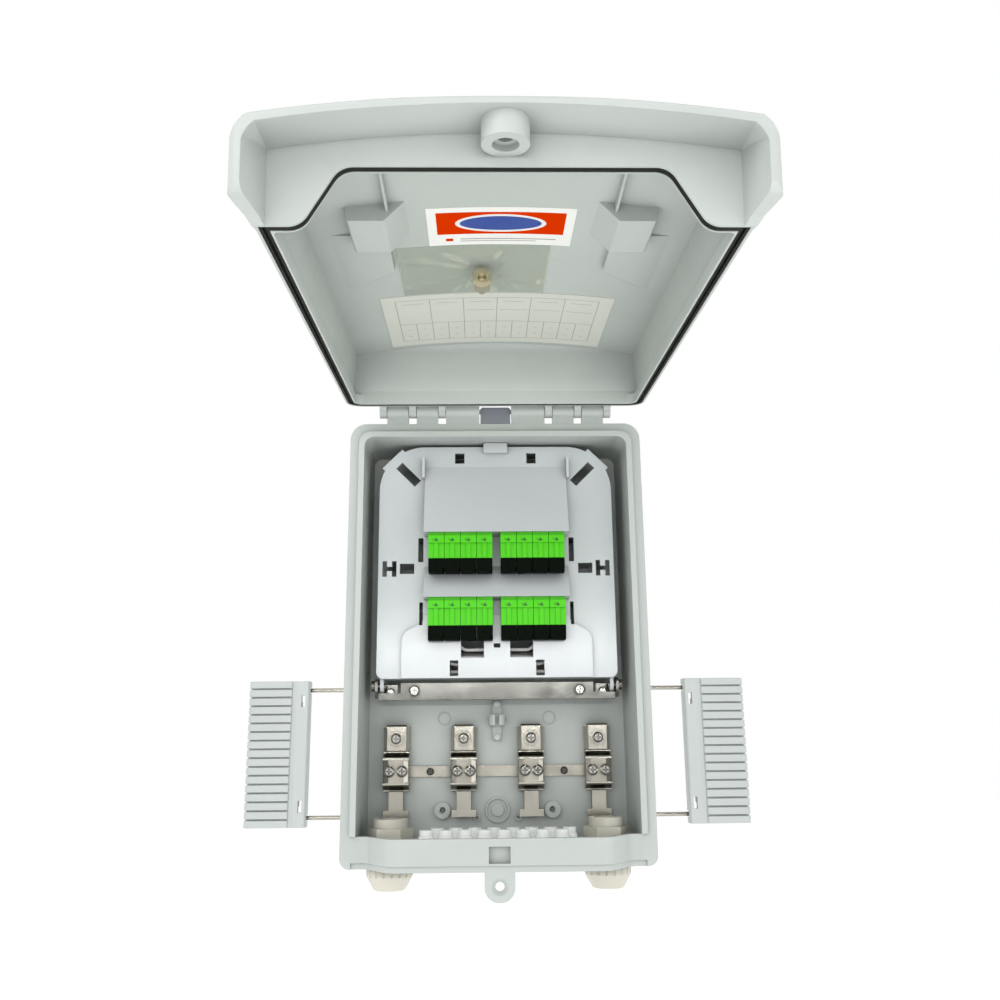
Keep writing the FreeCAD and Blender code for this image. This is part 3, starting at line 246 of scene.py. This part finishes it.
def printed(name, colour, rough=0.5, gloss=0.3):
    """Ink or coated paper with a faint fibre and an uneven satin surface."""
    material, tree, shader = new_material(name)
    coords = object_coords(tree)
    fibre = noise(tree, coords, 1300, 4, 0.65)
    blotch = noise(tree, coords, 40, 3)
    tone = mix_colour(tree, remap(tree, fibre, 0, 1), scaled(colour, 0.94), scaled(colour, 1.03))
    tone = mix_colour(tree, remap(tree, blotch, 0, 0.5), tone, scaled(colour, 0.93))
    tree.links.new(tone, shader.inputs["Base Color"])
    tree.links.new(remap(tree, blotch, rough - 0.06, rough + 0.08), shader.inputs["Roughness"])
    shader.inputs["Specular IOR Level"].default_value = gloss
    tree.links.new(bump(tree, fibre, 0.3, 0.00003), shader.inputs["Normal"])
    return material


def add_painted_crease_highlights(tree, level):
    """Raises the level where a fold turns the film sideways along x: painted highlight streaks along the creases.
    """
    geometry = tree.nodes.new("ShaderNodeNewGeometry")
    split = tree.nodes.new("ShaderNodeSeparateXYZ")
    tree.links.new(geometry.outputs["Normal"], split.inputs["Vector"])
    slope = math_node(tree, "ABSOLUTE", split.outputs["X"])
    return math_node(tree, "ADD", level, remap(tree, slope, 0.0, 0.42, 0.16, 0.6))


def clear_plastic(name, colour, alpha, rough=0.16, crease=0.0):
    """Clear moulding or film: thin, glossy, a little tinted, with fine scratches or creases."""
    material, tree, shader = new_material(name)
    coords = object_coords(tree)
    scratch = noise(tree, object_coords(tree, (1, 1, 9)), 240, 4, 0.7)
    haze = noise(tree, coords, 16, 1, 0.4)
    tone = mix_colour(tree, remap(tree, haze, 0, 1), scaled(colour, 0.9), scaled(colour, 1.06))
    tree.links.new(tone, shader.inputs["Base Color"])
    level = remap(tree, haze, alpha * 0.9, min(1.0, alpha * 1.12))
    # With creases, painted highlight streaks raise the film's opacity on facets turned sideways.
    if crease:
        level = add_painted_crease_highlights(tree, level)
    tree.links.new(level, shader.inputs["Alpha"])
    tree.links.new(remap(tree, scratch, rough - 0.03, rough + 0.05), shader.inputs["Roughness"])
    shader.inputs["Specular IOR Level"].default_value = 0.7
    shader.inputs["Coat Weight"].default_value = 0.5
    height = noise(tree, coords, 38, 2) if crease else scratch
    tree.links.new(bump(tree, height, 0.5, crease or 0.00001), shader.inputs["Normal"])
    return material


HOUSING = (0.515, 0.553, 0.525)
MATERIALS = {
    "housing_grey": moulded_plastic("moulded_housing", HOUSING, reach=0.05, darkest=0.62),
    "latch_grey": moulded_plastic("moulded_latch", (0.53, 0.57, 0.555), 0.38, reach=0.006, darkest=0.45),
    "panel_grey": moulded_plastic("moulded_panel", (0.55, 0.585, 0.595), 0.17, grain=0.00001, sheen=0.5,
                                  scuffs=0.02, reach=0.012, darkest=0.35),
    # Painted shade: the tray's near-black colour and strong hollow darkening stand for the deep shade seen through
    # the panel's windows.
    "tray_grey": moulded_plastic("moulded_tray_painted_shade", (0.035, 0.04, 0.04), 0.55, sheen=0.0, gloss=0.1,
                                 darkest=0.15),
    "gland_cream": moulded_plastic("moulded_gland", (0.64, 0.62, 0.53), 0.4, edge=0.0005),
    "adapter_green": moulded_plastic("adapter_green", (0.075, 0.60, 0.003), 0.35, edge=0.00035, sheen=0.03,
                                     gloss=0.2, reach=0.004),
    "cap_black": moulded_plastic("cap_black", (0.003, 0.005, 0.003), 0.6, edge=0.00035, sheen=0.0,
                                 gloss=0.03),
    "grommet_white": moulded_plastic("grommet_white", (0.90, 0.92, 0.90), 0.3, edge=0.0003, reach=0.004),
    "buffer_white": moulded_plastic("buffer_white", (0.85, 0.85, 0.82), 0.28, edge=0.0002),
    "sleeve_clear": moulded_plastic("sleeve_clear", (0.7, 0.7, 0.7), 0.2, edge=0.0002),
    "black_metal": sheet_metal("black_metal", (0.16, 0.155, 0.14), 0.25),
    "stainless": sheet_metal("stainless", (0.47, 0.45, 0.39), 0.2),
    "steel_wire": sheet_metal("steel_wire", (0.42, 0.40, 0.35), 0.2, (1, 1, 20)),
    "key_metal": sheet_metal("key_metal", (0.66, 0.60, 0.43), 0.15, (1, 1, 1), reach=0.0015),
    "rubber_black": rubber("rubber_black", (0.010, 0.011, 0.008)),
    "record_card": printed("record_card", (0.70, 0.715, 0.64)),
    "notice_print": printed("notice_card", (0.93, 0.93, 0.89), 0.42),
    "clear_cover": clear_plastic("clear_cover", (0.80, 0.84, 0.84), 0.22),
    "bag_film": clear_plastic("bag_film", (0.88, 0.98, 0.72), 0.10, 0.1, 0.0012),
}
INK_GREY = printed("ink_grey", (0.36, 0.37, 0.34))
INK_ORANGE = printed("ink_orange", (0.70, 0.036, 0.0), 0.5, 0.0)
INK_BLUE = printed("ink_blue", (0.045, 0.085, 0.35), 0.45, 0.15)
INK_WHITE = printed("ink_white", (0.85, 0.85, 0.82), 0.45, 0.15)
# Painted shade: the dark grey of the thin plate over the middle of the hinge line.
HINGE_SHADE_GREY = moulded_plastic("hinge_shade_grey", (0.22, 0.24, 0.27), 0.5, edge=0.0003)
GUIDE_GREY = moulded_plastic("guide_grey", (0.52, 0.545, 0.53), 0.45, edge=0.0003, reach=0.008)
MARK_GREEN = moulded_plastic("mark_green", (0.008, 0.10, 0.004), 0.4, edge=0.0002)
RAIL_STEEL = sheet_metal("rail_steel", (0.17, 0.17, 0.155), 0.13, (30, 1, 1))
SCREW_STEEL = sheet_metal("screw_steel", (0.66, 0.64, 0.59), 0.16, (1, 1, 1), reach=0.0025)
DARK_STEEL = sheet_metal("dark_steel", (0.14, 0.14, 0.13), 0.3, (1, 1, 1))
NODE_MATERIALS = {"clamp_screws": SCREW_STEEL, "rail_screws": SCREW_STEEL, "bar_screws": DARK_STEEL,
                  "tray_support_rail": RAIL_STEEL, "cable_guide_clip": GUIDE_GREY}


def finish_cad_nodes():
    """Gives every CAD node its slot's material and smooth shading with crisp edges."""
    slots = {s["node"]: s["material_slot"] for s in frame["record"]["subparts"]}
    for name, node in NODES.items():
        node.data.materials.clear()
        node.data.materials.append(NODE_MATERIALS.get(name, MATERIALS[slots[name]]))
        node.data.polygons.foreach_set("use_smooth", [True] * len(node.data.polygons))
        node.data.set_sharp_from_angle(angle=SMOOTH_ANGLE)


# ---- lid frame: pieces are laid out with the lid shut, then turned open ----
LID_JOINT = JOINTS["lid_hinge"]
LID_OPEN_ANGLE = math.radians(LID_JOINT["range_deg"][0])
LID_PIVOT = Vector(LID_JOINT["pos_m"])
LID_TURN = Matrix.Rotation(LID_OPEN_ANGLE, 4, "X")
TO_OPEN = Matrix.Translation(LID_PIVOT) @ LID_TURN @ Matrix.Translation(-LID_PIVOT)
TO_SHUT = TO_OPEN.inverted()


def lid_box(node):
    """Box of a lid node with the lid shut."""
    points = [TO_SHUT @ v.co for v in NODES[node].data.vertices]
    low = Vector([min(p[i] for p in points) for i in range(3)])
    high = Vector([max(p[i] for p in points) for i in range(3)])
    return low, high


def make_object(name, mesh, material, body):
    piece = bpy.data.objects.new(name, mesh)
    bpy.context.scene.collection.objects.link(piece)
    for m in material if isinstance(material, list) else [material]:
        mesh.materials.append(m)
    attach(piece, body)
    return piece


def as_mesh(name, bm):
    bmesh.ops.recalc_face_normals(bm, faces=bm.faces)
    mesh = bpy.data.meshes.new(name)
    bm.to_mesh(mesh)
    bm.free()
    return mesh


def add_prism(bm, outline, front_y, back_y):
    """A plate with the outline (x, z) from front_y back to back_y."""
    front = [bm.verts.new((x, front_y, z)) for x, z in outline]
    back = [bm.verts.new((x, back_y, z)) for x, z in outline]
    bm.faces.new(front)
    bm.faces.new(back[::-1])
    for k in range(len(outline)):
        m = (k + 1) % len(outline)
        bm.faces.new((front[m], front[k], back[k], back[m]))


class Crown:
    """The curved inner face of the lid front, read from a card that lies on it."""

    def __init__(self, node):
        low, high = lid_box(node)
        self.low = low
        self.high = high
        half = (high.x - low.x) / 2
        self.centre_y = low.y
        self.radius = half * half / (2 * (high.y - low.y - LABEL_NODE_T))

    def at(self, x, lift):
        return self.centre_y + x * x / (2 * self.radius) + lift


def add_strip(bm, crown, columns, lift, thickness, index):
    """A thin raised strip on the crown, given as columns (x, low z, high z)."""
    rings = []
    for x, z0, z1 in columns:
        y = crown.at(x, lift)
        rings.append([bm.verts.new((x, y, z0)), bm.verts.new((x, y, z1)),
                      bm.verts.new((x, y + thickness, z1)), bm.verts.new((x, y + thickness, z0))])
    for a, b in zip(rings, rings[1:]):
        for k in range(4):
            face = bm.faces.new((a[k], a[(k + 1) % 4], b[(k + 1) % 4], b[k]))
            face.material_index = index
    for ring in (rings[0], rings[-1]):
        bm.faces.new(ring).material_index = index


def add_patch(bm, crown, x0, x1, z0, z1, lift, thickness, index, steps=14):
    """A rectangular patch on the crown, from x0 to x1 and z0 to z1."""
    columns = [(x0 + (x1 - x0) * i / steps, z0, z1) for i in range(steps + 1)]
    add_strip(bm, crown, columns, lift, thickness, index)


def add_oval(bm, crown, cx, cz, half_w, half_h, lift, thickness, index, steps=36):
    """An oval patch on the crown."""
    columns = []
    for i in range(steps + 1):
        turn = math.pi * (1 - i / steps)
        h = max(half_h * math.sin(turn), 0.02 * MM)
        columns.append((cx + half_w * math.cos(turn), cz - h, cz + h))
    add_strip(bm, crown, columns, lift, thickness, index)


def lid_mesh(name, bm):
    """The mesh of a piece that was laid out on the shut lid, turned to the open lid."""
    mesh = as_mesh(name, bm)
    mesh.transform(TO_OPEN)
    return mesh


def record_card():
    """A blank connection record: a ruled border, a row of wide cells and a row of narrow cells."""
    crown = Crown("record_label")
    low, high = crown.low, crown.high
    bm = bmesh.new()
    add_patch(bm, crown, low.x, high.x, low.z, high.z, 0.0, CARD_T, 0, 40)
    half_rule = RULE_W / 2
    left, right = low.x + 9 * MM, high.x - 9 * MM
    bottom, top = low.z + 8 * MM, high.z - 10 * MM
    middle = bottom + (top - bottom) * 0.56

    def rule_x(x0, x1, z):
        add_patch(bm, crown, x0, x1, z - half_rule, z + half_rule, CARD_T, INK_T, 1)

    def rule_z(x, z0, z1):
        add_patch(bm, crown, x - half_rule, x + half_rule, z0, z1, CARD_T, INK_T, 1, 2)

    for z in (bottom, middle, top):
        rule_x(left, right, z)
    for x in (left, right):
        rule_z(x, bottom, top)
    wide = (right - left) / 6
    for i in range(1, 6):
        rule_z(left + i * wide, bottom, middle)
    for i in range(2, 6):
        start = left + i * wide
        rule_x(start + 2 * MM, start + wide - 2 * MM, (bottom + middle) / 2)
    for i in range(6):
        start = left + i * wide
        rule_x(start + 4 * MM, start + wide - 4 * MM, bottom + 7 * MM)
    narrow = (right - left) / 12
    for i in range(1, 12):
        rule_z(left + i * narrow, middle, top)
    for i in range(12):
        for z in (middle + 12 * MM, top - 10 * MM):
            rule_x(left + (i + 0.4) * narrow, left + (i + 0.62) * narrow, z)
    materials = [MATERIALS["record_card"], INK_GREY]
    piece = make_object("record_card", lid_mesh("record_card", bm), materials, "lid")
    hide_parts("record_label")


def notice_card():
    """A blank notice: a coloured band with a rounded bar, and plain rules below it."""
    crown = Crown("notice_label")
    low, high = crown.low, crown.high
    bm = bmesh.new()
    add_patch(bm, crown, low.x, high.x, low.z, high.z, 0.0, NOTICE_T, 0, 30)
    lift = NOTICE_T
    ink = NOTICE_INK_T
    band_low, band_high = low.z + 5.5 * MM, low.z + 32.5 * MM
    centre = (band_low + band_high) / 2
    add_patch(bm, crown, low.x + 5 * MM, high.x - 5 * MM, band_low, band_high, lift, ink, 1)
    add_oval(bm, crown, 0, centre, 24.5 * MM, 11.0 * MM, lift + ink, ink, 3)
    add_oval(bm, crown, 0, centre, 22.0 * MM, 8.6 * MM, lift + 2 * ink, ink, 2)
    add_patch(bm, crown, -22 * MM, 31 * MM, high.z - 8.5 * MM, high.z - 7.4 * MM, lift, ink, 4)
    add_patch(bm, crown, -22 * MM, 20 * MM, high.z - 5.6 * MM, high.z - 4.8 * MM, lift, ink, 4)
    add_patch(bm, crown, -30 * MM, -26 * MM, high.z - 9.0 * MM, high.z - 5.4 * MM, lift, ink, 1, 3)
    materials = [MATERIALS["notice_print"], INK_ORANGE, INK_BLUE, INK_WHITE, INK_GREY]
    piece = make_object("notice_card", lid_mesh("notice_card", bm), materials, "lid")
    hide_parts("notice_label")


def film_bag():
    """A clear film bag: two welded films that rise over the screw, with pulled creases."""
    low, high = lid_box("accessory_bag")
    key_low, key_high = lid_box("lock_key")
    card = Crown("record_label")
    key_x = (key_low.x + key_high.x) / 2
    key_top = key_low.y - 1.2 * MM
    random.seed(7)
    folds = []
    for _ in range(FOLD_COUNT):
        turn = random.uniform(0, 2 * math.pi)
        folds.append((turn, random.uniform(0.07, 0.17), random.uniform(0.5, 1.4)))
    columns, rows = 88, 74
    bm = bmesh.new()

    def rise(x, z):
        """How far the front film stands off the lid."""
        across = max(0.0, abs(x - key_x) - 3.5 * MM) / (12 * MM)
        beyond = max(0.0, key_low.z - z, z - key_high.z) / (15 * MM)
        near = math.exp(-(across * across + beyond * beyond) * 1.6)
        edge = min(x - low.x, high.x - x, z - low.z, high.z - z) / (6 * MM)
        edge = max(0.0, min(1.0, edge))
        angle = math.atan2(z - (key_low.z + key_high.z) / 2, x - key_x)
        crease = 0.0
        for turn, width, size in folds:
            off = math.atan2(math.sin(angle - turn), math.cos(angle - turn)) / width
            crease += size * math.exp(-off * off)
        slack = 0.5 + 0.5 * math.sin(x * 310 + 2.1 * math.sin(z * 140)) * math.cos(z * 205 + x * 90)
        flat = (1.5 * crease * (1 - near) + 0.7 * slack) * MM
        full = card.at(x, 0) - key_top
        return edge * (flat + near * full)

    grids = []
    for side in range(2):
        grid = []
        for i in range(columns + 1):
            x = low.x + (high.x - low.x) * i / columns
            line = []
            for j in range(rows + 1):
                z = low.z + (high.z - low.z) * j / rows
                y = card.at(x, BACK_FILM_LIFT) if side else card.at(x, FILM_LIFT) + rise(x, z)
                line.append(bm.verts.new((x, y, z)))
            grid.append(line)
        grids.append(grid)
        for i in range(columns):
            for j in range(rows):
                quad = (grid[i][j], grid[i + 1][j], grid[i + 1][j + 1], grid[i][j + 1])
                bm.faces.new(quad if side else quad[::-1])
    rim = [(i, 0) for i in range(columns)]
    rim += [(columns, j) for j in range(rows)]
    rim += [(i, rows) for i in range(columns, 0, -1)]
    rim += [(0, j) for j in range(rows, 0, -1)]
    for a, b in zip(rim, rim[1:] + rim[:1]):
        front, back = grids
        bm.faces.new((front[a[0]][a[1]], front[b[0]][b[1]], back[b[0]][b[1]], back[a[0]][a[1]]))
    mesh = lid_mesh("film_bag", bm)
    piece = make_object("film_bag", mesh, MATERIALS["bag_film"], "lid")
    mesh.polygons.foreach_set("use_smooth", [True] * len(mesh.polygons))
    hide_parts("accessory_bag")


def adapter_marks():
    """A small moulded arrow on the collar of each adapter."""
    for number in range(1, 5):
        low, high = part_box("adapters_%d" % number)
        pitch = (high.x - low.x - ADAPTER_W) / 3
        z = high.z - MARK_DROP
        bm = bmesh.new()
        for i in range(4):
            x = low.x + ADAPTER_W / 2 + i * pitch
            arrow = [(x - 1.5 * MM, z), (x + 1.5 * MM, z), (x, z + 2.4 * MM)]
            add_prism(bm, arrow, low.y - 0.2 * MM, low.y + 0.2 * MM)
        name = "adapter_marks_%d" % number
        make_object(name, as_mesh(name, bm), MARK_GREEN, "adapter_panel")


def hole_membranes():
    """Thin dished webs left in the two lower wall-screw holes, to be pierced when the box is hung."""
    mount = [m for m in frame["record"]["mounts"] if m["name"] == "lower_wall_screws"][0]
    half = mount["dims"]["spacing_x_mm"] / 2 * MM
    tip_y = -1.1 * MM
    profile = ((0.9, -1.0), (1.7, -0.7), (2.1, -0.4), (2.3, -0.3))
    turns = [2 * math.pi * k / WEB_SEGMENTS for k in range(WEB_SEGMENTS)]
    bm = bmesh.new()
    for side in (-1, 1):
        centre = Vector((side * half, 0, mount["pos_m"][2]))
        rows = []
        for radius, depth in profile:
            rows.append([bm.verts.new((centre.x + radius * MM * math.cos(turn), depth * MM,
                                       centre.z + radius * MM * math.sin(turn))) for turn in turns])
        tip = bm.verts.new((centre.x, tip_y, centre.z))
        for k in range(WEB_SEGMENTS):
            m = (k + 1) % WEB_SEGMENTS
            bm.faces.new((tip, rows[0][k], rows[0][m]))
            for inner, outer in zip(rows, rows[1:]):
                bm.faces.new((inner[k], outer[k], outer[m], inner[m]))
    mesh = as_mesh("hole_membranes", bm)
    make_object("hole_membranes", mesh, MATERIALS["housing_grey"], "base")


def hinge_shade_plate():
    """A thin dark plate over the middle of the hinge line: painted shade for the shadowed middle of the hinge."""
    low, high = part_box("hinge_pins")
    front_y = low.y - KNUCKLE_GAP
    centre = (low.z + high.z) / 2
    outline = [(-10.8, -9.8), (10.8, -9.8), (10.8, 2.0), (9.8, 3.0), (-9.8, 3.0), (-10.8, 2.0)]
    bm = bmesh.new()
    add_prism(bm, [(u * MM, centre + v * MM) for u, v in outline], front_y, front_y + 0.9 * MM)
    make_object("hinge_shade_plate", as_mesh("hinge_shade_plate", bm), HINGE_SHADE_GREY, "base")


# ---- stage ----
CAMERA_AT = Vector((-11.8, -772.8, -82.5)) * MM
CAMERA_FORWARD = Vector((0.01981, 0.96972, 0.24341))
CAMERA_RIGHT = Vector((0.99979, -0.01807, -0.00934))
LENS_MM = 36.34


def camera():
    data = bpy.data.cameras.new("camera")
    data.lens = LENS_MM
    data.sensor_width = 36.0
    data.clip_start = 0.01
    data.clip_end = 30
    obj = bpy.data.objects.new("camera", data)
    bpy.context.scene.collection.objects.link(obj)
    up = CAMERA_RIGHT.cross(CAMERA_FORWARD).normalized()
    right = CAMERA_FORWARD.cross(up).normalized()
    rotation = Matrix((right, up, -CAMERA_FORWARD.normalized())).transposed()
    obj.matrix_world = Matrix.Translation(CAMERA_AT) @ rotation.to_4x4()
    bpy.context.scene.camera = obj


def area_light(name, place, target, size, power):
    data = bpy.data.lights.new(name, "AREA")
    data.shape = "RECTANGLE"
    data.size, data.size_y = size
    data.energy = power
    obj = bpy.data.objects.new(name, data)
    bpy.context.scene.collection.objects.link(obj)
    obj.location = place
    obj.rotation_mode = "QUATERNION"
    obj.rotation_quaternion = (Vector(target) - Vector(place)).to_track_quat("-Z", "Y")


def studio_world():
    """White all round, with a darker room in front of the object so that metal has something to show."""
    world = bpy.data.worlds.new("studio")
    world.use_nodes = True
    tree = world.node_tree
    coords = tree.nodes.new("ShaderNodeTexCoord")
    split = tree.nodes.new("ShaderNodeSeparateXYZ")
    tree.links.new(coords.outputs["Generated"], split.inputs["Vector"])
    tone = grey(tree, remap(tree, split.outputs["Y"], 0.42, 1.0, -0.75, -0.15))
    background = tree.nodes["Background"]
    tree.links.new(tone, background.inputs["Color"])
    background.inputs["Strength"].default_value = 1.0
    bpy.context.scene.world = world


def floor():
    mesh = bpy.data.meshes.new("floor")
    signs = ((-1, -1), (1, -1), (1, 1), (-1, 1))
    corners = [(x * FLOOR_HALF, y * FLOOR_HALF, FLOOR_LEVEL) for x, y in signs]
    mesh.from_pydata(corners, [], [(0, 1, 2, 3)])
    plane = bpy.data.objects.new("floor", mesh)
    bpy.context.scene.collection.objects.link(plane)
    material, tree, shader = new_material("floor_paint")
    mottle = remap(tree, noise(tree, object_coords(tree), 3), 0, 1)
    tone = mix_colour(tree, mottle, (0.95, 0.95, 0.95), (0.97, 0.97, 0.97))
    tree.links.new(tone, shader.inputs["Base Color"])
    shader.inputs["Roughness"].default_value = 0.9
    shader.inputs["Emission Color"].default_value = (1, 1, 1, 1)
    shader.inputs["Emission Strength"].default_value = 0.2
    mesh.materials.append(material)


def studio():
    studio_world()
    floor()
    area_light("key", (-0.75, -1.35, 0.75), (0, -0.05, 0.0), (0.9, 0.9), 6.0)
    area_light("fill", (1.1, -1.2, 0.1), (0, -0.05, 0), (0.7, 0.9), 2.5)
    area_light("low_front", (0.1, -1.3, -0.75), (0, -0.1, 0.15), (0.8, 0.6), 2.5)
    area_light("strip", (0.0, -1.42, 0.125), (0, -0.04, -0.01), (0.8, 0.05), 3.2)
    bpy.context.scene.view_settings.view_transform = "Standard"


finish_cad_nodes()
record_card()
notice_card()
film_bag()
adapter_marks()
hole_membranes()
hinge_shade_plate()
camera()
studio()
